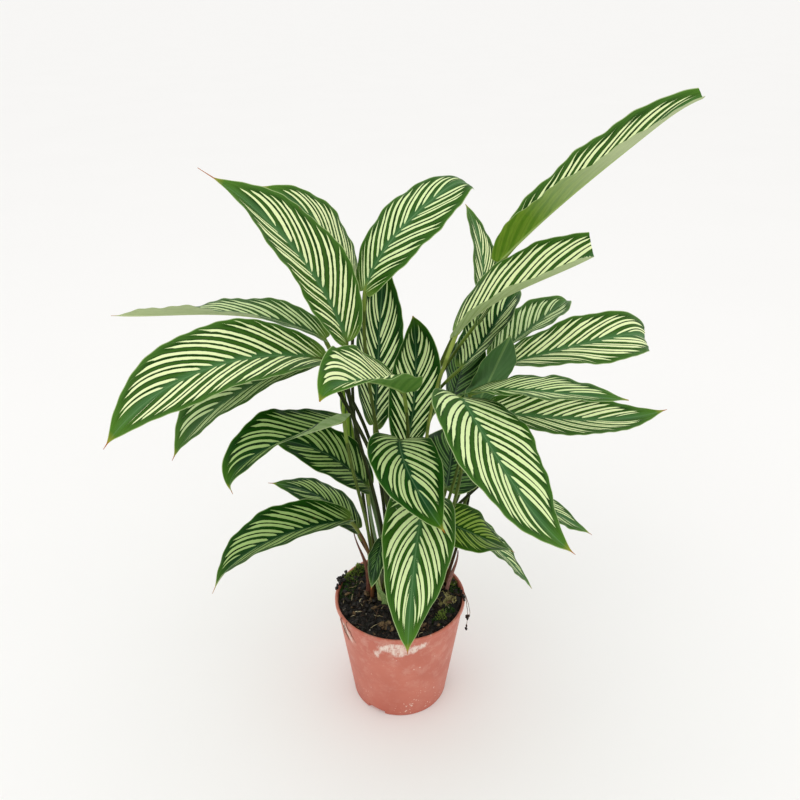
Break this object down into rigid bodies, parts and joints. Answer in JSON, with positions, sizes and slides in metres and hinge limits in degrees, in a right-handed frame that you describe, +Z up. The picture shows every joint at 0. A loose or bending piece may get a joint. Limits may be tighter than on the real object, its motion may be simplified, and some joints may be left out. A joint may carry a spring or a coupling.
{
  "type": "potted prayer plant",
  "caption": "Tapered nursery pot filled with soil, holding a clump of long-stalked leaves with waved edges and pale stripes along the side veins.",
  "frame": {"origin": "centre of the pot's underside, on the surface that it stands on", "axes": "+Z up; -Y towards the viewer of the picture; +X to the viewer's right"},
  "size_m": [0.4669, 0.2753, 0.5498],
  "materials": {
    "pot_plastic": "matt moulded plastic, terracotta pink, with a dried lime bloom below the rim",
    "peat": "moist crumbly peat with fibres, bark and moss",
    "leaf": "satin leaf, dark green with pale yellow-green stripes",
    "furled_leaf": "satin, yellow-green with dark stripes",
    "dry_sheath": "dry papery, reddish brown",
    "young_shoot": "satin, pale yellow-green"
  },
  "bodies": {
    "root": {"pot": "pot_plastic", "soil": "peat", "leaf_left_tall": "leaf", "leaf_left_tall_back": "leaf", "leaf_left_far": "leaf", "leaf_left_broad": "leaf", "leaf_left_broad_under": "leaf", "leaf_left_arched": "leaf", "leaf_left_middle": "leaf", "leaf_left_middle_back": "leaf", "leaf_left_low": "leaf", "leaf_left_low_back": "leaf", "leaf_centre_tall": "leaf", "leaf_centre_back": "leaf", "leaf_centre_upright": "leaf", "leaf_front_middle": "leaf", "leaf_front_low": "leaf", "leaf_front_small": "leaf", "leaf_centre_low_back": "leaf", "leaf_right_tallest": "leaf", "leaf_back_upright": "leaf", "leaf_right_folded": "leaf", "leaf_right_inner": "leaf", "leaf_right_inner_low": "leaf", "leaf_right_level_back": "leaf", "leaf_right_level": "leaf", "leaf_right_turned": "leaf", "leaf_right_flat": "leaf", "leaf_right_flat_back": "leaf", "leaf_right_broad": "leaf", "leaf_right_under": "leaf", "leaf_right_low": "leaf", "leaf_right_low_under": "leaf", "furled_leaf": "furled_leaf", "dry_sheath_left": "dry_sheath", "dry_sheath_right": "dry_sheath", "young_shoot": "young_shoot", "shoot_stub": "young_shoot"}
  },
  "joints": []
}
